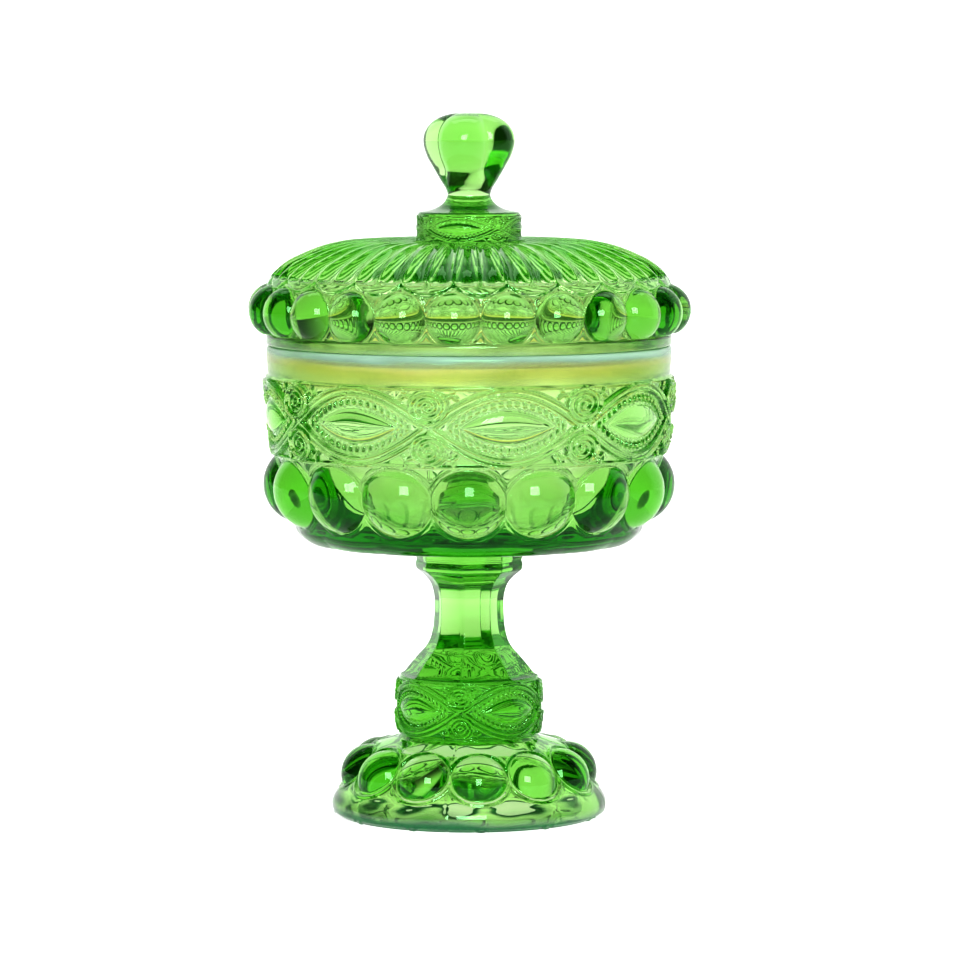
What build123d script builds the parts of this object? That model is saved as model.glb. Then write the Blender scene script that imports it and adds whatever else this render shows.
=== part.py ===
from build123d import *
import os

# A covered candy dish of pressed glass: a footed bowl, and a domed lid that rests on its rim.
# Z is the axis of both pieces, z = 0 is the table, and the front faces -Y.
# Each piece is modelled in the zones that it is named by: foot, stem and bowl, then lid and finial.

# Driving dimensions, millimetres
RIM_RADIUS = 50.8
RIM_HEIGHT = 118.5
FOOT_HEIGHT = 20.3
STEM_TOP = 68.7
LID_TOP = 144.2
SEAT_GAP = 0.1
SOCKET_CLEARANCE = 0.9

# Angles about Z, from +X. The bowl's mould seam is beside the front. The foot and the stem are pressed
# slightly turned against it, and the lid stands slightly turned on it.
BOWL_SEAM = -101.25
FOOT_SEAM = BOWL_SEAM + 1.6
STEM_SEAM = BOWL_SEAM + 4.0
LID_SEAM = -101.7
KNOB_SEAM = LID_SEAM - 2.0

# Foot: a low cone on a flat ring, hollow below, with a ring of balls
FOOT_LIP_RADIUS = 34.6
FOOT_RING_OUTER = 32.8
FOOT_RING_INNER = 29.0
FOOT_HOLLOW_DEPTH = 17.0
FOOT_BALLS = 12
FOOT_BALL_RADIUS = 7.5
FOOT_BALL_RING = (24.9, 10.4)

# Stem: a round pattern collar, a waisted column with eight sides, and a plain top collar with eight sides
COLLAR_RADIUS = 17.3
COLLAR_TOP = 35.0
COLLAR_EYES = 4
COLUMN_FOOT_HALF = 16.2
COLUMN_WAIST_HALF = 8.05
COLUMN_WAIST = (51.0, 54.0)
COLUMN_TOP = 61.6
TOP_COLLAR_HALF = 12.5
COLUMN_SIDES = 8

# Bowl
BOWL_BASE_RADIUS = 43.6
BOWL_FLOOR = 75.0
BAND_BOTTOM = 91.3
BAND_TOP = 110.9
BAND_BOTTOM_RADIUS = 48.4
BAND_TOP_RADIUS = 50.4
GLASS_THICKNESS = 4.5
BOWL_BALLS = 16
BOWL_BALL_RADIUS = 10.0
BOWL_BALL_RING = (41.7, 83.5)
BOWL_EYES = 8

# Turns a ball so that its poles lie along the ring of balls and its closing edge is buried in the wall
SEAM_INSIDE = (90, 0, 180)

# Raised eyes of the pattern bands: half length, half height, and how far they stand out
BOWL_EYE = (11.7, 4.4, 1.7)
COLLAR_EYE = (9.5, 3.4, 1.0)
FINIAL_EYE = (6.5, 1.6, 0.3)

# Lid: a drum with a ring of balls, a low dome, and a ring that drops inside the bowl's rim
LID_DRUM_RADIUS = 50.5
LID_BALLS = 24
LID_BALL_RADIUS = 6.6
LID_BALL_RING = (49.0, 127.3)
SOCKET_DEPTH = 3.4
SOCKET_WALL = 2.6

# Finial: a collar with eyes, a waist, and a knob of four lobes
FINIAL_COLLAR_RADIUS = 12.75
FINIAL_COLLAR_TOP = 151.4
FINIAL_WAIST_RADIUS = 5.4
FINIAL_EYES = 4
KNOB_LOBES = 4
KNOB_LOBE_OFFSET = 5.35
KNOB_LOBE_RADIUS = 6.2
KNOB_CORE_RADIUS = 6.4
KNOB_WIDEST = 169.2
KNOB_TOP = 176.5


def upright_plane(angle):
    """Vertical plane through the axis: its local x points away at this angle, and its local y is up."""
    return Plane(
        origin=(0, 0, 0),
        x_dir=Vector(1, 0, 0).rotate(Axis.Z, angle),
        z_dir=Vector(0, -1, 0).rotate(Axis.Z, angle),
    )


def facing_plane(angle, height):
    """Vertical plane through the axis at this height, facing away at this angle."""
    return Plane(
        origin=(0, 0, height),
        x_dir=Vector(0, 1, 0).rotate(Axis.Z, angle),
        z_dir=Vector(1, 0, 0).rotate(Axis.Z, angle),
    )


def raised_eye(angle, eye, lower, upper):
    """One raised eye on a wall whose outline runs from lower to upper, each (radius, height)."""
    half_length, half_height, relief = eye
    middle = (lower[1] + upper[1]) / 2
    with BuildPart() as pad:
        with BuildSketch(facing_plane(angle, middle)):
            with BuildLine():
                ThreePointArc((-half_length, 0), (0, half_height), (half_length, 0))
                ThreePointArc((half_length, 0), (0, -half_height), (-half_length, 0))
            make_face()
        extrude(amount=2 * upper[0])
        with BuildSketch(Plane.XZ):
            with BuildLine():
                Polyline(
                    (lower[0] - GLASS_THICKNESS / 2, lower[1]),
                    (lower[0] + relief, lower[1]),
                    (upper[0] + relief, upper[1]),
                    (upper[0] - GLASS_THICKNESS / 2, upper[1]),
                    close=True,
                )
            make_face()
        revolve(axis=Axis.Z, mode=Mode.INTERSECT)
    return pad.part


# Foot: its outline is turned, the balls stand on its cone, and then the hollow is cut
with BuildPart() as foot:
    with BuildSketch(Plane.XZ):
        with BuildLine():
            Polyline((0, FOOT_HEIGHT), (COLLAR_RADIUS, FOOT_HEIGHT), (24.5, 17.5), (32.0, 7.5), (34.2, 5.3))
            ThreePointArc((34.2, 5.3), (FOOT_LIP_RADIUS, 3.0), (FOOT_RING_OUTER, 0))
            Polyline((FOOT_RING_OUTER, 0), (0, 0), (0, FOOT_HEIGHT))
        make_face()
    revolve(axis=Axis.Z)
    with Locations((0, 0, FOOT_BALL_RING[1])):
        with PolarLocations(FOOT_BALL_RING[0], FOOT_BALLS, start_angle=FOOT_SEAM + 180 / FOOT_BALLS):
            Sphere(FOOT_BALL_RADIUS, rotation=SEAM_INSIDE)
    with BuildSketch(Plane.XZ):
        with BuildLine():
            Line((0, 0), (FOOT_RING_INNER, 0))
            ThreePointArc((FOOT_RING_INNER, 0), (28.2, 2.5), (26.0, 5.0))
            Line((26.0, 5.0), (14.0, 14.2))
            ThreePointArc((14.0, 14.2), (10.9, 15.9), (6.0, 16.9))
            Polyline((6.0, 16.9), (0, FOOT_HOLLOW_DEPTH), (0, 0))
        make_face()
    revolve(axis=Axis.Z, mode=Mode.SUBTRACT)
foot.part.label = "foot"

# Stem: the column is where four waisted slabs cross, which leaves it eight waisted sides
with BuildPart() as stem:
    for side in range(COLUMN_SIDES // 2):
        with BuildSketch(upright_plane(STEM_SEAM + (side + 0.5) * 360 / COLUMN_SIDES)):
            with BuildLine():
                Line((0, FOOT_HEIGHT), (COLUMN_FOOT_HALF, FOOT_HEIGHT))
                Line((COLUMN_FOOT_HALF, FOOT_HEIGHT), (COLUMN_FOOT_HALF, COLLAR_TOP - 0.7))
                Spline(
                    (COLUMN_FOOT_HALF, COLLAR_TOP - 0.7),
                    (10.3, 41.9),
                    (8.6, 46.0),
                    (COLUMN_WAIST_HALF, COLUMN_WAIST[0]),
                )
                Line((COLUMN_WAIST_HALF, COLUMN_WAIST[0]), (COLUMN_WAIST_HALF, COLUMN_WAIST[1]))
                ThreePointArc((COLUMN_WAIST_HALF, COLUMN_WAIST[1]), (9.1, 58.6), (11.8, COLUMN_TOP))
                Polyline((11.8, COLUMN_TOP), (TOP_COLLAR_HALF, COLUMN_TOP), (TOP_COLLAR_HALF, STEM_TOP))
                Polyline((TOP_COLLAR_HALF, STEM_TOP), (0, STEM_TOP), (0, FOOT_HEIGHT))
            make_face()
            mirror(about=Plane.YZ)
        extrude(amount=2 * COLLAR_RADIUS, both=True, mode=Mode.ADD if side == 0 else Mode.INTERSECT)
    with BuildSketch(Plane.XY.offset(FOOT_HEIGHT)):
        Circle(COLLAR_RADIUS)
    extrude(amount=COLLAR_TOP - FOOT_HEIGHT)
    collar_eye = raised_eye(
        STEM_SEAM + 180 / COLLAR_EYES,
        COLLAR_EYE,
        (COLLAR_RADIUS, FOOT_HEIGHT + 1),
        (COLLAR_RADIUS, COLLAR_TOP - 1),
    )
    with PolarLocations(0, COLLAR_EYES):
        add(collar_eye)
stem.part.label = "stem"

# Bowl: turned outline with balls and raised eyes, then its inside is cut
with BuildPart() as bowl:
    with BuildSketch(Plane.XZ):
        with BuildLine():
            Polyline((0, RIM_HEIGHT), (0, STEM_TOP), (37.4, STEM_TOP))
            ThreePointArc((37.4, STEM_TOP), (42.1, 70.4), (BOWL_BASE_RADIUS, 73.0))
            Polyline(
                (BOWL_BASE_RADIUS, 73.0),
                (BAND_BOTTOM_RADIUS, BAND_BOTTOM),
                (BAND_TOP_RADIUS, BAND_TOP),
                (RIM_RADIUS, RIM_HEIGHT - 1.2),
            )
            ThreePointArc(
                (RIM_RADIUS, RIM_HEIGHT - 1.2),
                (RIM_RADIUS - 0.35, RIM_HEIGHT - 0.35),
                (RIM_RADIUS - 1.2, RIM_HEIGHT),
            )
            Line((RIM_RADIUS - 1.2, RIM_HEIGHT), (0, RIM_HEIGHT))
        make_face()
    revolve(axis=Axis.Z)
    with Locations((0, 0, BOWL_BALL_RING[1])):
        with PolarLocations(BOWL_BALL_RING[0], BOWL_BALLS, start_angle=BOWL_SEAM + 180 / BOWL_BALLS):
            Sphere(BOWL_BALL_RADIUS, rotation=SEAM_INSIDE)
    bowl_eye = raised_eye(
        BOWL_SEAM + 180 / BOWL_EYES,
        BOWL_EYE,
        (BAND_BOTTOM_RADIUS, BAND_BOTTOM),
        (BAND_TOP_RADIUS, BAND_TOP),
    )
    with PolarLocations(0, BOWL_EYES):
        add(bowl_eye)
    with BuildSketch(Plane.XZ):
        with BuildLine():
            mouth = (RIM_RADIUS - GLASS_THICKNESS, RIM_HEIGHT)
            wall_foot = (40.7, 82.0)
            Polyline((0, BOWL_FLOOR), (0, RIM_HEIGHT), mouth)
            Polyline(mouth, (BAND_BOTTOM_RADIUS - GLASS_THICKNESS, BAND_BOTTOM), wall_foot)
            ThreePointArc(wall_foot, (38.1, 77.8), (33.0, BOWL_FLOOR + 0.7))
            Line((33.0, BOWL_FLOOR + 0.7), (0, BOWL_FLOOR))
        make_face()
    revolve(axis=Axis.Z, mode=Mode.SUBTRACT)
bowl.part.label = "bowl"

# Lid: its seat is a seat gap above the bowl's rim, and its socket ring hangs inside the bowl's mouth
LID_BOTTOM = RIM_HEIGHT + SEAT_GAP
SOCKET_RADIUS = RIM_RADIUS - GLASS_THICKNESS - SOCKET_CLEARANCE
with BuildPart() as lid:
    with BuildSketch(Plane.XZ):
        with BuildLine():
            socket_bottom = LID_BOTTOM - SOCKET_DEPTH
            Polyline(
                (0, socket_bottom),
                (SOCKET_RADIUS, socket_bottom),
                (SOCKET_RADIUS, LID_BOTTOM),
                (RIM_RADIUS, LID_BOTTOM),
                (RIM_RADIUS, LID_BOTTOM + 2.5),
                (LID_DRUM_RADIUS, LID_BOTTOM + 2.8),
                (LID_DRUM_RADIUS, 133.0),
                (49.1, 135.5),
            )
            ThreePointArc((49.1, 135.5), (43.3, 140.0), (36.5, 143.0))
            ThreePointArc((36.5, 143.0), (31.5, 143.9), (26.0, LID_TOP))
            Polyline((26.0, LID_TOP), (0, LID_TOP), (0, socket_bottom))
        make_face()
    revolve(axis=Axis.Z)
    with Locations((0, 0, LID_BALL_RING[1])):
        with PolarLocations(LID_BALL_RING[0], LID_BALLS, start_angle=LID_SEAM + 180 / LID_BALLS):
            Sphere(LID_BALL_RADIUS, rotation=SEAM_INSIDE)
    with BuildSketch(Plane.XZ):
        with BuildLine():
            Polyline(
                (0, LID_TOP - GLASS_THICKNESS),
                (0, socket_bottom),
                (SOCKET_RADIUS - SOCKET_WALL, socket_bottom),
                (44.6, LID_BOTTOM + 2.0),
                (45.3, 128.0),
                (45.2, 131.5),
            )
            ThreePointArc((45.2, 131.5), (44.1, 134.0), (40.0, 136.0))
            ThreePointArc((40.0, 136.0), (31.0, 138.3), (20.0, LID_TOP - GLASS_THICKNESS))
            Line((20.0, LID_TOP - GLASS_THICKNESS), (0, LID_TOP - GLASS_THICKNESS))
        make_face()
    revolve(axis=Axis.Z, mode=Mode.SUBTRACT)
lid.part.label = "lid"

# Finial: a turned collar and waist, and a knob of four merged pear-shaped lobes
with BuildPart() as lobe:
    with BuildSketch(Plane.XZ):
        with BuildLine():
            Line((0, 157.6), (1.0, 158.3))
            Spline(
                (1.0, 158.3),
                (4.05, 163.2),
                (KNOB_LOBE_RADIUS, KNOB_WIDEST),
                (4.95, 173.0),
                (0, KNOB_TOP - 0.4),
            )
            Line((0, KNOB_TOP - 0.4), (0, 157.6))
        make_face()
    revolve(axis=Axis.Z)

with BuildPart() as finial:
    with BuildSketch(Plane.XZ):
        with BuildLine():
            waist = (FINIAL_WAIST_RADIUS, 155.7)
            Polyline((0, LID_TOP), (FINIAL_COLLAR_RADIUS, LID_TOP), (FINIAL_COLLAR_RADIUS, FINIAL_COLLAR_TOP))
            ThreePointArc((FINIAL_COLLAR_RADIUS, FINIAL_COLLAR_TOP), (7.4, 152.9), waist)
            Polyline(waist, (FINIAL_WAIST_RADIUS + 0.2, 156.6), (KNOB_CORE_RADIUS, 160.5))
            Polyline((KNOB_CORE_RADIUS, 160.5), (KNOB_CORE_RADIUS, 173.0), (1.0, KNOB_TOP))
            Polyline((1.0, KNOB_TOP), (0, KNOB_TOP), (0, LID_TOP))
        make_face()
    revolve(axis=Axis.Z)
    with PolarLocations(KNOB_LOBE_OFFSET, KNOB_LOBES, start_angle=KNOB_SEAM):
        add(lobe.part)
    finial_eye = raised_eye(
        LID_SEAM,
        FINIAL_EYE,
        (FINIAL_COLLAR_RADIUS, LID_TOP + 1),
        (FINIAL_COLLAR_RADIUS, FINIAL_COLLAR_TOP - 0.5),
    )
    with PolarLocations(0, FINIAL_EYES):
        add(finial_eye)
finial.part.label = "finial"

os.makedirs("parts", exist_ok=True)
for piece in (foot, stem, bowl, lid, finial):
    export_step(piece.part, f"parts/{piece.part.label}.step")
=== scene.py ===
import math

import bpy
import numpy as np
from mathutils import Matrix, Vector


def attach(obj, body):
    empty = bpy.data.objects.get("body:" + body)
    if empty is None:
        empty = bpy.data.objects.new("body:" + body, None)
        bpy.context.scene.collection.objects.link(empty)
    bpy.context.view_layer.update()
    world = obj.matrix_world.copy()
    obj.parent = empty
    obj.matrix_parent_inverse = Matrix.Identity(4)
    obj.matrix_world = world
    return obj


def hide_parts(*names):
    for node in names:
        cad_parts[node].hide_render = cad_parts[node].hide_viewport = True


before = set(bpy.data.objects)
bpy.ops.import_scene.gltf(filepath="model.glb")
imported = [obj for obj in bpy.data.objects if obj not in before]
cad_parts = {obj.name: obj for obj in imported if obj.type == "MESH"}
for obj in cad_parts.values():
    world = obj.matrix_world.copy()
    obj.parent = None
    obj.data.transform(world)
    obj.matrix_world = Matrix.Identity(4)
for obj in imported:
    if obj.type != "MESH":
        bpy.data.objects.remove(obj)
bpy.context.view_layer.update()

# A covered candy dish of pressed green glass. Two closed skins of glass stand for the CAD's five nodes:
# the dish (foot, stem and bowl) and the cover (lid and finial). Each skin is a turned outline with its
# moulded relief worked into the mesh. Outlines are (radius, height) in millimetres, from the axis and table.

MM = 0.001
TURN = 2 * math.pi
DISH_SEAM = math.radians(-101.25)
COVER_SEAM = math.radians(-101.7)
STEM_TWIST = math.radians(4.0)  # the foot and stem stand a little turned against the bowl
FOOT_TWIST = math.radians(1.6)
KNOB_TWIST = math.radians(-2.0)
SMOOTH, MEDIUM, FINE = 288, 576, 1152  # columns round the axis

# rings of balls: how many, the (radius, height) of their middles, and their own radius
FOOT_BALLS = (12, (24.9, 10.4), 7.5)
BOWL_BALLS = (16, (41.7, 83.5), 10.0)
LID_BALLS = (24, (49.0, 127.3), 6.6)
# bands of eyes: how many, the middle's height, half the band's height, and how far the relief stands out
STEM_EYES = (4, 27.7, 7.0, 1.25)
BOWL_EYES = (8, 101.2, 9.7, 1.8)
FINIAL_EYES = (4, 147.7, 3.2, 0.6)
FLUTES = 48
FLUTES_START = 134.9                    # height of the flutes' lower ends
SCALLOPS, SCALLOP_RISE = 132.7, 2.3     # height of the dome's edge between balls, and its rise over one
KNOB_START, LOBE_SHARE = 156.4, 0.4515  # height where the lobes begin, and their share of the radius
FOOT_HOLLOW, BOWL_FLOOR, DOME_INSIDE, KNOB_DIMPLE = 17.0, 75.0, 139.6, 175.9  # heights on the axis


# ---------------------------------------------------------------- outlines

def straight(*points, step):
    """Points along straight runs, no further apart than step."""
    out = [np.array(points[0], float)]
    for a, b in zip(points, points[1:]):
        a, b = np.array(a, float), np.array(b, float)
        n = max(1, math.ceil(np.linalg.norm(b - a) / step))
        out += [a + (b - a) * (i + 1) / n for i in range(n)]
    return np.array(out)


def curved(*points, step):
    """Points along a smooth curve through these points, about a step apart or closer."""
    p = np.array(points, float)
    p = np.vstack([2 * p[0] - p[1], p, 2 * p[-1] - p[-2]])
    out = [p[1]]
    for i in range(1, len(p) - 2):
        n = max(2, math.ceil(np.linalg.norm(p[i + 1] - p[i]) / step))
        t = (np.arange(n)[:, None] + 1) / n
        out += list(0.5 * (2 * p[i] + (p[i + 1] - p[i - 1]) * t
                           + (2 * p[i - 1] - 5 * p[i] + 4 * p[i + 1] - p[i + 2]) * t ** 2
                           + (3 * p[i] - p[i - 1] - 3 * p[i + 1] + p[i + 2]) * t ** 3))
    return np.array(out)


class Row:
    """One zone's outline points and outward normals as columns, beside the angles round it as a row."""

    def __init__(self, outline, columns, twist):
        tangent = np.gradient(outline, axis=0)
        tangent /= np.linalg.norm(tangent, axis=1)[:, None]
        self.r, self.z = outline[:, :1], outline[:, 1:]
        self.nr, self.nz = tangent[:, 1:], -tangent[:, :1]
        self.angle = (np.arange(columns) * TURN / columns)[None, :] - twist

    def from_nearest(self, count, first=0.5):
        """Angle from the nearest of count places round the axis; first is in shares of their spacing."""
        spacing = TURN / count
        return (self.angle / spacing - first + 0.5) % 1 * spacing - spacing / 2


# ---------------------------------------------------------------- relief, heights in mm out of the wall

def step_up(x, width):
    """0 below 0, 1 above width, smooth between."""
    t = np.clip(x / width, 0, 1)
    return t * t * (3 - 2 * t)


def blend_max(a, b, width):
    """The larger of two values, rounded over where they cross."""
    return (a + b + np.sqrt((a - b) ** 2 + width ** 2)) / 2


def ridge(distance, half_width, height):
    """A line with a round top, by the distance from its middle."""
    return height * np.clip(1 - (distance / half_width) ** 2, 0, None)


def balls(zone, count, ring, radius, rim=(0.5, 0.45, 0.4), groove=0.0):
    """A ring of balls standing in the wall, each in a raised rim (distance out, half width, height)."""
    away = zone.from_nearest(count)
    x = zone.r - ring[0] * np.cos(away)
    y = ring[0] * np.sin(away)
    z = zone.z - ring[1]
    along = x * zone.nr + z * zone.nz
    across = x ** 2 + y ** 2 + z ** 2 - along ** 2
    height = np.where(across < radius ** 2, -along + np.sqrt(np.clip(radius ** 2 - across, 0, None)), -9.0)
    outside = np.sqrt(across) - np.sqrt(np.clip(radius ** 2 - along ** 2, 0, None))
    wall = ridge(outside - rim[0], rim[1], rim[2]) - ridge(outside - 0.2, 0.5, groove)
    return blend_max(height, wall, 0.08) - 0.02


def seam(zone, count=4, height=0.12):
    """The mould's closing lines."""
    away = zone.from_nearest(count, first=0)
    return ridge(away * zone.r, 0.32, height)


def wobble(zone, height, wavelength):
    """The faint unevenness of pressed glass."""
    k = TURN / wavelength
    turns = max(3, round(15 * k))
    a = np.sin(turns * zone.angle + 0.7 * k * zone.z + 1.3)
    b = np.sin((turns + 5) * zone.angle - 0.9 * k * zone.z + 0.4)
    c = np.sin(0.55 * k * zone.z + 2 * np.sin(3 * zone.angle))
    return height * (a + b + c) / 3


HALF_UNIT, HALF_BAND = 19.4, 9.8  # half of one repeat of the band, along it and across it
EYE = (11.8, 4.4)                 # half length and half height of the eye
BEADS = (14.1, 5.9)               # the same for the ring of beads round it
BEAD_PITCH = 1.95
RIBBON = 8.75                     # how far the ribbons swing from the middle line
SCROLLS = ((5.2, 5.1, 4.45), (-5.5, 4.9, 4.25))  # height, half width and half height of the two scrolls
SPRIG = (13.6, 8.0)               # the sprig in each corner


def eye_band(u, v):
    """One repeat of the moulded band, an eye between two crossings: u in +-HALF_UNIT, v in +-HALF_BAND."""
    # the smooth eye, with a faint ridge along it
    lens = EYE[1] * np.clip(1 - (u / EYE[0]) ** 2, 0, None)
    across = np.clip(np.abs(v) / np.maximum(lens, 1e-6), 0, 1)
    eye = (1.05 * np.sqrt(np.clip(1 - across ** 2, 0, None)) + 0.05 * (1 - across)) * (lens / EYE[1]) ** 0.6
    # the ring of beads round it
    bend = BEADS[1] * (1 - (u / BEADS[0]) ** 2)
    slope = -2 * BEADS[1] * u / BEADS[0] ** 2
    off_ring = (np.abs(v) - bend) / np.sqrt(1 + slope ** 2)
    a = 2 * BEADS[1] / BEADS[0] ** 2
    along = (u * np.sqrt(1 + (a * u) ** 2) + np.arcsinh(a * u) / a) / 2
    bead = (0.5 + 0.5 * np.cos(TURN * along / BEAD_PITCH)) ** 1.3
    beads = ridge(off_ring, 0.95, 0.75) * bead + ridge(np.abs(off_ring) - 1.2, 0.28, 0.35)
    beads *= np.abs(u) < BEADS[0] + 0.6
    # the ribbons that cross between the eyes
    swing = RIBBON * np.cos(math.pi * u / (2 * HALF_UNIT))
    lean = RIBBON * math.pi / (2 * HALF_UNIT) * np.sin(math.pi * u / (2 * HALF_UNIT))
    off = (np.abs(v) - swing) / np.sqrt(1 + lean ** 2)
    ribbon = 0.5 * step_up(1.25 - np.abs(off), 0.3) + ridge(np.abs(off) - 0.85, 0.34, 0.45)
    # the scrolls above and below each crossing
    from_crossing = u - np.sign(u + 1e-9) * HALF_UNIT
    scroll = np.zeros_like(ribbon)
    for middle, wide, tall in SCROLLS:
        x, y = from_crossing / wide, (v - middle) / tall
        out = np.hypot(x, y)
        turn = np.arctan2(y * np.sign(middle), x) / TURN
        winding = 0.32 * np.cos(TURN * (3.1 * out - turn)) * step_up(1.0 - out, 0.1)
        disc = 0.75 * step_up(1.0 - out, 0.08) + winding
        scroll = np.maximum(scroll, disc + ridge(out - 0.93, 0.07, 0.4))
    # three-armed sprigs in the corners, and the border lines
    corner = np.hypot(np.abs(u) - SPRIG[0], (np.abs(v) - SPRIG[1]) * 1.1)
    arms = np.arctan2(np.abs(v) - SPRIG[1], np.abs(u) - SPRIG[0])
    sprig = 0.55 * step_up(1.0 + 1.1 * np.cos(3 * (arms + 0.35)) - corner, 0.5)
    border = ridge(np.abs(v) - HALF_BAND + 0.1, 0.4, 0.5)
    relief = np.maximum(np.maximum(eye, beads), np.maximum(sprig, border))
    return blend_max(blend_max(relief, ribbon, 0.1), scroll, 0.1) - 0.1


def eye_bands(zone, count, middle, half_height, height, first=0.5):
    """eye_band repeated round the zone, its first eye this share of a repeat past the seam."""
    u = zone.from_nearest(count, first) / (math.pi / count) * HALF_UNIT
    v = (zone.z - middle) / half_height * HALF_BAND
    inside = step_up(1.03 - np.abs(v) / HALF_BAND, 0.03)
    return height * eye_band(u, v + 0 * u) * inside


# ---------------------------------------------------------------- skins

class Skin:
    """Gathers rings of points from one end of the axis to the other, and closes them into a mesh."""

    def __init__(self, first_height):
        self.rings = []
        self.points = [np.array([[0.0, 0.0, first_height]])]
        self.total = 1

    def add(self, outline, columns, relief=None, shape=None, skip_first=True, twist=0.0):
        """A zone: relief(zone) is how far it stands out of the wall, shape(zone) scales its radius."""
        zone = Row(outline, columns, twist)
        out = relief(zone) if relief else 0
        scale = shape(zone) if shape else 1
        r = (zone.r + out * zone.nr) * scale + 0 * zone.angle
        z = zone.z + out * zone.nz + 0 * zone.angle
        for i in range(1 if skip_first else 0, len(outline)):
            round_axis = zone.angle[0] + twist
            ring = np.stack([r[i] * np.cos(round_axis), r[i] * np.sin(round_axis), z[i]], axis=1)
            self.points.append(ring)
            self.rings.append((self.total, columns))
            self.total += columns

    def close(self, last_height):
        self.points.append(np.array([[0.0, 0.0, last_height]]))
        self.total += 1

    def polygons(self):
        """Vertex indices of every face, grouped by how many corners the faces have."""
        groups = {}
        first, columns = self.rings[0]
        j = np.arange(columns)
        groups.setdefault(3, []).append(np.stack([0 * j, first + (j + 1) % columns, first + j], axis=1))
        for (a, na), (b, nb) in zip(self.rings, self.rings[1:]):
            few = min(na, nb)
            j = np.arange(few)
            lower = [a + (j * (na // few) + k) % na for k in range(na // few + 1)]
            upper = [b + (j * (nb // few) + k) % nb for k in range(nb // few + 1)]
            corners = np.stack(lower + upper[::-1], axis=1)
            groups.setdefault(corners.shape[1], []).append(corners)
        last, columns = self.rings[-1]
        j = np.arange(columns)
        top = self.total - 1 + 0 * j
        groups[3].append(np.stack([last + j, last + (j + 1) % columns, top], axis=1))
        return groups

    def mesh(self, name, seam_angle):
        """The closed skin as an object, turned so that its first seam is at this angle."""
        co = np.vstack(self.points)
        c, s = math.cos(seam_angle), math.sin(seam_angle)
        co = np.stack([co[:, 0] * c - co[:, 1] * s, co[:, 0] * s + co[:, 1] * c, co[:, 2]], axis=1) * MM
        corners, sizes = [], []
        for size, faces in self.polygons().items():
            faces = np.vstack(faces)
            corners.append(faces.ravel())
            sizes.append(np.full(len(faces), size))
        corners, sizes = np.concatenate(corners), np.concatenate(sizes)
        me = bpy.data.meshes.new(name)
        me.vertices.add(len(co))
        me.vertices.foreach_set("co", co.astype(np.float32).ravel())
        me.loops.add(len(corners))
        me.loops.foreach_set("vertex_index", corners.astype(np.int32))
        me.polygons.add(len(sizes))
        me.polygons.foreach_set("loop_start", np.concatenate([[0], np.cumsum(sizes)[:-1]]).astype(np.int32))
        me.polygons.foreach_set("use_smooth", np.ones(len(sizes), bool))
        me.update(calc_edges=True)
        me.validate()
        ob = bpy.data.objects.new(name, me)
        bpy.context.scene.collection.objects.link(ob)
        return ob


# ---------------------------------------------------------------- the dish

def eight_sides(zone):
    """Scales a ring to an octagon with its corners on the outline, corners slightly rounded."""
    away = np.abs(zone.from_nearest(8, first=0.5))
    flat = math.cos(math.pi / 8) / np.cos(away)
    return 1 - blend_max(1 - flat, 0.006, 0.006)


def foot(skin):
    """The hollow underneath, the ring to stand on, and the wall with its balls up to the collar."""
    hollow = curved((0, FOOT_HOLLOW), (6.0, 16.9), (10.5, 16.0), (14.0, 14.2), (18.0, 11.3), (22.5, 7.8),
                    (26.0, 5.0), (28.3, 2.4), (29.0, 0.3), step=1.0)
    ring = straight((29.05, 0.1), (29.3, 0.0), (31.8, 0.0), (32.4, 0.08), (32.9, 0.25), step=0.6)
    wall = curved((32.9, 0.25), (34.2, 1.2), (34.6, 2.8), (34.3, 4.4), (33.3, 6.1), (31.9, 7.8),
                  (28.3, 12.5), (24.9, 16.9), (23.5, 17.9), (20.5, 18.8), (17.9, 19.7), step=0.42)
    skin.add(hollow, SMOOTH, lambda q: wobble(q, 0.35, 9))
    skin.add(ring, SMOOTH, skip_first=False)
    skin.add(wall, MEDIUM, lambda q: balls(q, *FOOT_BALLS, (1.05, 0.5, 0.35), 0.3) + seam(q),
             skip_first=False, twist=FOOT_TWIST)


def stem(skin):
    """The collar with four eyes, the waisted column with eight sides, and its top collar."""
    lower_edge = straight((17.9, 19.7), (17.4, 20.3), (17.2, 20.6), step=0.3)
    collar = straight((17.2, 20.6), (17.2, 34.8), step=0.2)
    upper_edge = straight((17.2, 34.8), (17.4, 35.2), step=0.2)
    column = curved((17.5, 35.3), (16.4, 35.9), (15.3, 37.3), (14.0, 38.8), (12.7, 40.3), (11.2, 41.9),
                    (10.2, 43.4), (9.6, 44.9), (9.23, 46.4), (8.95, 48.0), (8.8, 50.0), (8.72, 52.5),
                    (8.72, 54.0), (8.85, 55.5), (9.23, 57.1), (9.87, 58.6), (11.1, 60.1), (12.8, 61.5),
                    step=0.5)
    top_collar = curved((12.8, 61.5), (13.35, 61.9), (13.6, 62.7), (13.62, 64.2), (13.62, 68.6), step=0.5)
    skin.add(lower_edge, MEDIUM)
    skin.add(collar, MEDIUM, lambda q: eye_bands(q, *STEM_EYES), twist=STEM_TWIST)
    skin.add(upper_edge, MEDIUM)
    skin.add(column, MEDIUM, lambda q: seam(q, height=0.06), eight_sides, skip_first=False, twist=STEM_TWIST)
    skin.add(top_collar, MEDIUM, lambda q: -ridge(q.z - 64.4, 0.45, 0.3), eight_sides, twist=STEM_TWIST)


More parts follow.
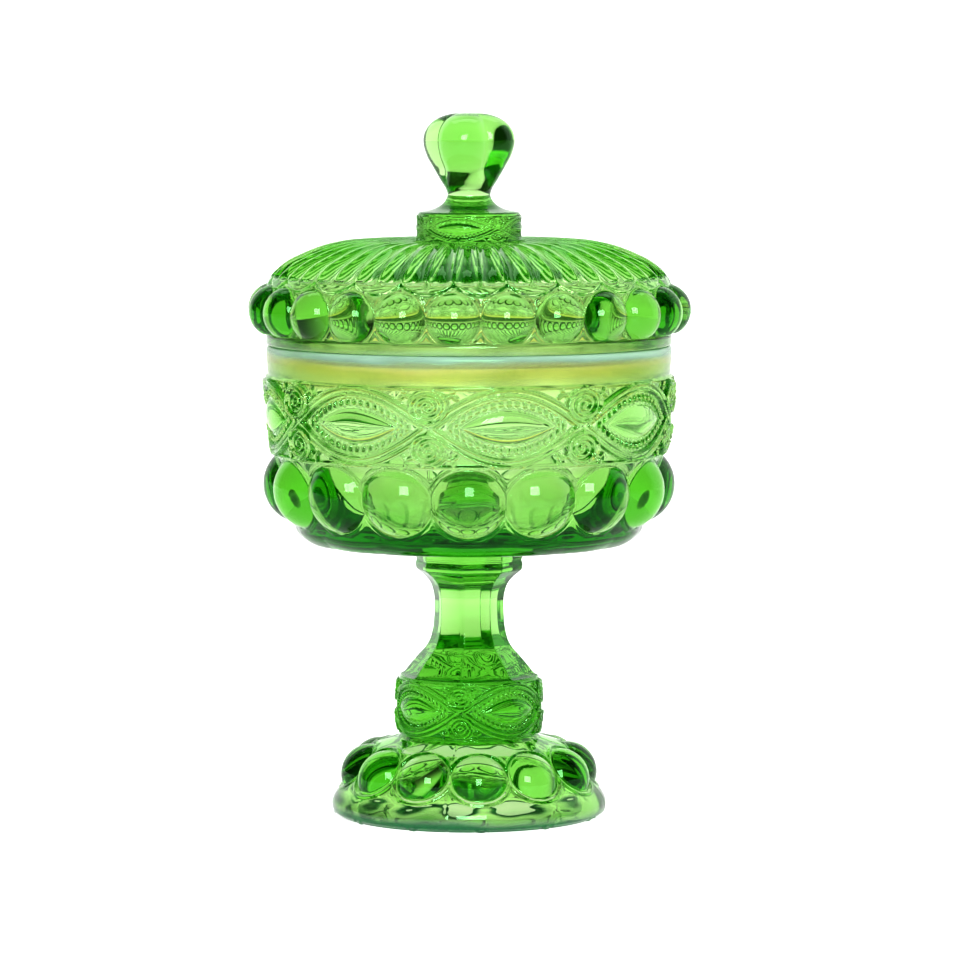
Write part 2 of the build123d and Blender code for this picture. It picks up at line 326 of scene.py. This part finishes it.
def bowl(skin):
    """The underside, the wall with balls and then eyes, the plain rim, and the inside down to its floor."""
    underside = straight((13.7, 68.7), (37.4, 68.7), step=1.6)
    heel = curved((37.4, 68.7), (40.0, 69.1), (42.1, 70.4), (43.3, 71.9), (43.7, 73.2), step=0.5)
    ball_wall = straight((43.7, 73.2), (48.4, 91.2), step=0.38)
    eye_wall = straight((48.4, 91.2), (48.5, 91.5), (50.4, 110.9), step=0.27)
    rim = curved((50.4, 111.1), (50.45, 112.0), (50.7, 116.8), (50.6, 117.8), (50.1, 118.4), (49.5, 118.5),
                 (48.3, 118.5), (47.2, 118.35), (46.6, 117.8), (46.3, 116.8), step=0.45)
    inside = curved((46.3, 116.8), (45.1, 104.0), (43.9, 91.3), (42.5, 86.5), (40.7, 82.0), (39.2, 79.3),
                    (37.0, 77.2), (33.0, 75.8), (20.0, 75.2), (4.0, BOWL_FLOOR), (1.0, BOWL_FLOOR),
                    step=1.0)
    skin.add(underside, MEDIUM, lambda q: wobble(q, 0.05, 13))
    skin.add(heel, FINE, lambda q: 0.25 * (np.abs(np.sin(8 * q.angle)) - 0.6) * step_up(q.r - 38, 3))
    skin.add(ball_wall, FINE, lambda q: balls(q, *BOWL_BALLS) + seam(q))
    skin.add(eye_wall, FINE, lambda q: eye_bands(q, *BOWL_EYES))
    skin.add(rim, MEDIUM)
    skin.add(inside, SMOOTH, lambda q: wobble(q, 0.1, 14))


def dish_skin():
    skin = Skin(FOOT_HOLLOW)
    foot(skin)
    stem(skin)
    bowl(skin)
    skin.close(BOWL_FLOOR)
    return skin.mesh("footed_bowl_glass", DISH_SEAM)


# ---------------------------------------------------------------- the cover

def lid_top(zone):
    """Balls round the drum, then a scalloped edge, then hollow flutes up to the collar."""
    around = np.abs(zone.from_nearest(LID_BALLS[0], first=0.0)) / (math.pi / LID_BALLS[0])
    edge = SCALLOPS + SCALLOP_RISE * around ** 2
    past = zone.z - edge
    layer = 0.75 * step_up(past, 0.4)
    across = zone.from_nearest(FLUTES, first=0.5) / (math.pi / FLUTES)
    pitch = zone.r * TURN / FLUTES
    depth = pitch * (0.09 + 0.16 * np.clip((zone.r - 14) / 24, 0, 1))
    flute = -depth * np.clip(1 - (across / 0.9) ** 2, 0, None) * step_up(zone.z - FLUTES_START, 1.4)
    return balls(zone, *LID_BALLS) * step_up(0.3 - past, 0.6) + layer + flute + seam(zone, height=0.06)


def knob_lobes(zone):
    """Scales a ring to four merged lobes with narrow creases between them."""
    away = zone.from_nearest(4, first=0.0)
    share = LOBE_SHARE * step_up(zone.z - KNOB_START, 6.5)
    lobe = 1 - share
    return share * np.cos(away) + np.sqrt(np.clip(lobe ** 2 - (share * np.sin(away)) ** 2, 0, None))


def lid(skin):
    """The inside of the dome, the ring inside the bowl's mouth, the rim, and the dome with its balls."""
    inside = curved((0.8, DOME_INSIDE), (4.0, DOME_INSIDE), (20.0, 139.4), (28.0, 138.8), (35.0, 137.4),
                    (40.0, 136.0), (43.2, 134.7), (44.6, 133.4), (45.2, 131.5), (45.3, 128.0), (44.6, 120.6),
                    (43.4, 116.9), (42.9, 115.8), step=1.0)
    ring = curved((42.9, 115.8), (43.2, 115.35), (43.8, 115.2), (44.8, 115.25), (45.3, 115.7), (45.4, 116.6),
                  (45.5, 118.2), (45.8, 118.55), step=0.45)
    seat = straight((45.8, 118.6), (50.3, 118.6), step=0.9)
    rim = curved((50.3, 118.6), (50.7, 118.75), (50.8, 119.3), (50.8, 120.6), (50.6, 121.2), (50.25, 121.5),
                 step=0.3)
    dome = curved((50.2, 121.55), (50.2, 125.0), (50.2, 131.0), (49.85, 133.3), (48.9, 135.3), (47.2, 137.1),
                  (44.9, 138.8), (42.3, 140.1), (39.3, 141.4), (36.3, 142.45), (33.0, 143.2), (29.5, 143.7),
                  (22.0, 143.95), (13.0, 143.9), step=0.42)
    skin.add(inside, SMOOTH, lambda q: wobble(q, 0.08, 12), skip_first=False)
    skin.add(ring, SMOOTH)
    skin.add(seat, SMOOTH)
    skin.add(rim, MEDIUM, skip_first=False)
    skin.add(dome, FINE, lid_top, skip_first=False)


def finial(skin):
    """The collar with four eyes, the waist, and the knob of four merged lobes."""
    collar = straight((12.9, 144.0), (12.75, 144.2), (12.75, 151.2), step=0.2)
    knob = curved((12.75, 151.2), (12.3, 151.6), (10.6, 151.95), (8.5, 152.5), (6.8, 153.5), (5.8, 154.7),
                  (5.4, 155.7), (5.55, 156.6), (5.95, 157.6), (7.0, 159.2), (8.2, 161.2), (9.4, 163.2),
                  (10.5, 165.1), (11.2, 167.0), (11.5, 168.2), (11.6, 169.3), (11.5, 170.4), (11.1, 171.7),
                  (10.3, 173.0), (8.8, 174.4), (6.6, 175.5), (4.2, 176.1), (2.2, 176.15), (1.1, 175.95),
                  step=0.4)
    skin.add(collar, MEDIUM, lambda q: eye_bands(q, *FINIAL_EYES, first=0.0))
    skin.add(knob, SMOOTH, None, knob_lobes, twist=KNOB_TWIST)


def cover_skin():
    skin = Skin(DOME_INSIDE)
    lid(skin)
    finial(skin)
    skin.close(KNOB_DIMPLE)
    return skin.mesh("lid_glass", COVER_SEAM)


# ---------------------------------------------------------------- nodes

def link(tree, a, out, b, into):
    tree.links.new(a.outputs[out], b.inputs[into])


def axes(tree, kind):
    """The X, Y and Z outputs of one kind of coordinates."""
    place = tree.nodes.new("ShaderNodeTexCoord")
    split = tree.nodes.new("ShaderNodeSeparateXYZ")
    link(tree, place, kind, split, "Vector")
    return split.outputs


def combined(tree, operation, a, b):
    """Two values worked into one, each a node's output or a number."""
    node = tree.nodes.new("ShaderNodeMath")
    node.operation = operation
    for socket, value in zip(node.inputs, (a, b)):
        if isinstance(value, float):
            socket.default_value = value
        else:
            tree.links.new(value, socket)
    return node.outputs["Value"]


def softly(tree, value, low, high):
    """0 where the value is below low and 1 above high, smooth between."""
    node = tree.nodes.new("ShaderNodeMapRange")
    node.interpolation_type = "SMOOTHSTEP"
    node.inputs["From Min"].default_value = low
    node.inputs["From Max"].default_value = high
    tree.links.new(value, node.inputs["Value"])
    return node.outputs["Result"]


def ramp(tree, height, low, high, stops):
    """A colour ramp over heights in millimetres, from stops of (height, colour or grey)."""
    span = tree.nodes.new("ShaderNodeMapRange")
    span.inputs["From Min"].default_value = low * MM
    span.inputs["From Max"].default_value = high * MM
    tree.links.new(height, span.inputs["Value"])
    colours = tree.nodes.new("ShaderNodeValToRGB")
    elements = colours.color_ramp.elements
    while len(elements) < len(stops):
        elements.new(0.5)
    for element, (z, colour) in zip(elements, stops):
        element.position = (z - low) / (high - low)
        element.color = (*colour, 1) if isinstance(colour, tuple) else (colour, colour, colour, 1)
    link(tree, span, "Result", colours, "Fac")
    return colours.outputs["Color"]


# ---------------------------------------------------------------- glass

ABSORBED_PER_METRE = (64.0, 19.0, 100.0)  # red, green, blue
REFRACTIVE_INDEX = 1.5
REFLECTION = (0.35, 0.8, 0.4, 1)
STREAK_DRIFT = 4 * MM  # the streaks carry the tints down by up to this
CLEAR, PALE, DEEP, DULL = (1.0, 1.0, 1.0), (0.98, 1.0, 0.92), (0.9, 0.9, 0.85), (0.78, 0.75, 0.62)
# the last colour is the foot's teal bottom edge, darkened as painted shade where the foot meets the table
MILKY, AMBER, STRAW, SHADED_TEAL = (0.48, 0.68, 0.59), (1.0, 0.8, 0.42), (1.0, 0.96, 0.82), (0.04, 0.2, 0.1)
POLISHED = 0.005


def glass(name, low, high, tint, clearness, haze):
    """Green glass: tint, clearness and haze are stops over the height, for the milky edges."""
    mat = bpy.data.materials.new(name)
    mat.use_nodes = True
    tree = mat.node_tree
    shader = tree.nodes["Principled BSDF"]
    shader.inputs["IOR"].default_value = REFRACTIVE_INDEX
    shader.inputs["Specular Tint"].default_value = REFLECTION
    place = tree.nodes.new("ShaderNodeTexCoord")
    stretch = tree.nodes.new("ShaderNodeMapping")
    stretch.inputs["Scale"].default_value = (1, 1, 5)
    link(tree, place, "Object", stretch, "Vector")
    streaks = tree.nodes.new("ShaderNodeTexNoise")
    streaks.inputs["Scale"].default_value = 40
    link(tree, stretch, "Vector", streaks, "Vector")
    drift = combined(tree, "MULTIPLY", streaks.outputs["Fac"], STREAK_DRIFT)
    height = combined(tree, "ADD", drift, axes(tree, "Object")["Z"])
    tree.links.new(ramp(tree, height, low, high, tint), shader.inputs["Base Color"])
    tree.links.new(ramp(tree, height, low, high, clearness), shader.inputs["Transmission Weight"])
    tree.links.new(ramp(tree, height, low, high, haze), shader.inputs["Roughness"])
    depth = tree.nodes.new("ShaderNodeVolumeAbsorption")
    density = max(ABSORBED_PER_METRE) * 1.02
    depth.inputs["Density"].default_value = density
    depth.inputs["Color"].default_value = (*(1 - a / density for a in ABSORBED_PER_METRE), 1)
    link(tree, depth, "Volume", tree.nodes["Material Output"], "Volume")
    return mat


def dish_glass():
    """A teal edge round the foot, darkened as painted shade where it meets the table, deeper green at the
    bowl's balls, then amber and milky at the rim.
    """
    tint = [(0, SHADED_TEAL), (3.7, SHADED_TEAL), (6.0, PALE), (11.5, PALE), (14.5, CLEAR), (74.0, CLEAR), (77.0, DEEP),
            (92.0, DEEP), (96.0, CLEAR), (106.0, CLEAR), (111.5, STRAW), (115.0, AMBER), (117.3, AMBER),
            (119.1, MILKY)]
    clearness = [(0, 0.3), (3.7, 0.6), (5.5, 1.0), (116.1, 1.0), (118.5, 0.75), (120.5, 0.35)]
    haze = [(0, 0.05), (4.5, POLISHED), (111.5, POLISHED), (113.5, 0.2), (120.5, 0.25)]
    return glass("green_dish_glass", 0, 122, tint, clearness, haze)


def cover_glass():
    """Milky at the ring, dull at the rim, deeper green at the balls, and clear above."""
    tint = [(115.0, MILKY), (120.0, MILKY), (121.8, DULL), (123.5, DULL), (125.5, DEEP), (134.5, DEEP),
            (137.5, CLEAR), (178.0, CLEAR)]
    clearness = [(115.0, 0.6), (120.3, 0.8), (122.0, 1.0), (178.0, 1.0)]
    haze = [(115.0, 0.2), (121.0, 0.15), (123.5, 0.08), (125.0, POLISHED), (178.0, POLISHED)]
    return glass("green_lid_glass", 115, 180, tint, clearness, haze)


# ---------------------------------------------------------------- studio, in metres

TABLE_REACH = 20.0
CAMERA_PLACE = (0.00275, -1.25, 0.195)
CAMERA_TILT = math.radians(90 - 5.06)


def brightness(tree, share, low, high):
    """A brightness from low to high by share."""
    node = tree.nodes.new("ShaderNodeMapRange")
    node.inputs["To Min"].default_value = low
    node.inputs["To Max"].default_value = high
    tree.links.new(share, node.inputs["Value"])
    return node.outputs["Result"]


def seen_white(tree, strength):
    """A strength that is plain white looked at directly, and itself through the glass and in reflections."""
    path = tree.nodes.new("ShaderNodeLightPath")
    return combined(tree, "MAXIMUM", path.outputs["Is Camera Ray"], strength)


def table():
    """A white table top whose glow is painted light: it goes dark in front of the dish and brighter behind
    it.
    """
    reach = TABLE_REACH
    me = bpy.data.meshes.new("table")
    me.from_pydata([(-reach, -reach, 0), (reach, -reach, 0), (reach, reach, 0), (-reach, reach, 0)], [],
                   [(0, 1, 2, 3)])
    ob = bpy.data.objects.new("table", me)
    bpy.context.scene.collection.objects.link(ob)
    mat = bpy.data.materials.new("white_table")
    mat.use_nodes = True
    tree = mat.node_tree
    shader = tree.nodes["Principled BSDF"]
    shader.inputs["Base Color"].default_value = (0.5, 0.5, 0.5, 1)
    shader.inputs["Roughness"].default_value = 0.6
    shader.inputs["Emission Color"].default_value = (1, 1, 1, 1)
    back = axes(tree, "Object")["Y"]
    # painted light: the top glows faintly far in front of the dish, more under it, and most behind it
    near = brightness(tree, softly(tree, back, -0.6, -0.25), 0.03, 0.8)
    far = brightness(tree, softly(tree, back, 0.05, 0.7), 0, 0.4)
    strength = seen_white(tree, combined(tree, "ADD", near, far))
    tree.links.new(strength, shader.inputs["Emission Strength"])
    ob.data.materials.append(mat)


def backdrop():
    """White behind the dish, dark in front of it and overhead."""
    world = bpy.data.worlds.new("studio")
    bpy.context.scene.world = world
    world.use_nodes = True
    tree = world.node_tree
    way = axes(tree, "Generated")
    aside = combined(tree, "MULTIPLY", way["X"], 0.3)  # it reaches further round on the right
    behind = softly(tree, combined(tree, "ADD", way["Y"], aside), 0.05, 0.45)
    under = combined(tree, "SUBTRACT", 1.0, softly(tree, way["Z"], 0.6, 0.95))
    strength = brightness(tree, combined(tree, "MULTIPLY", behind, under), 0.07, 1.36)
    tree.links.new(seen_white(tree, strength), tree.nodes["Background"].inputs["Strength"])
    tree.nodes["Background"].inputs["Color"].default_value = (1, 1, 1, 1)


def softbox(name, size, watts, place, target, through_glass=True):
    """A soft light that the glass reflects, and that also shows through it unless told not to."""
    light = bpy.data.lights.new(name, "AREA")
    light.shape = "RECTANGLE"
    light.size, light.size_y = size
    light.energy = watts
    lamp = bpy.data.objects.new(name, light)
    lamp.location = place
    lamp.rotation_euler = (Vector(target) - lamp.location).to_track_quat("-Z", "Y").to_euler()
    lamp.visible_transmission = through_glass
    bpy.context.scene.collection.objects.link(lamp)


def studio():
    """The table, the backdrop, a soft light over the camera and a faint one above."""
    scene = bpy.context.scene
    scene.view_settings.view_transform = "Standard"
    scene.view_settings.gamma = 0.8
    scene.cycles.max_bounces = 32
    scene.cycles.transmission_bounces = 32
    scene.cycles.glossy_bounces = 16
    table()
    backdrop()
    softbox("softbox", (0.5, 0.5), 20, (0.04, -1.07, 0.53), (0, 0, 0.09), through_glass=False)
    softbox("overhead", (0.7, 0.25), 1.2, (0, 0.25, 0.8), (0, 0, 0.14))


def camera():
    """A long lens 1.25 m in front of the dish and a little above its lid."""
    cam = bpy.data.cameras.new("camera")
    cam.lens = 187.5
    cam.sensor_width = 36
    cam.clip_start, cam.clip_end = 0.05, 100
    ob = bpy.data.objects.new("camera", cam)
    ob.location = CAMERA_PLACE
    ob.rotation_euler = (CAMERA_TILT, 0, 0)
    bpy.context.scene.collection.objects.link(ob)
    bpy.context.scene.camera = ob


camera()
studio()

dish = dish_skin()
dish.data.materials.append(dish_glass())
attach(dish, "dish")
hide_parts("foot", "stem", "bowl")

cover = cover_skin()
cover.data.materials.append(cover_glass())
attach(cover, "cover")
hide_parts("lid", "finial")
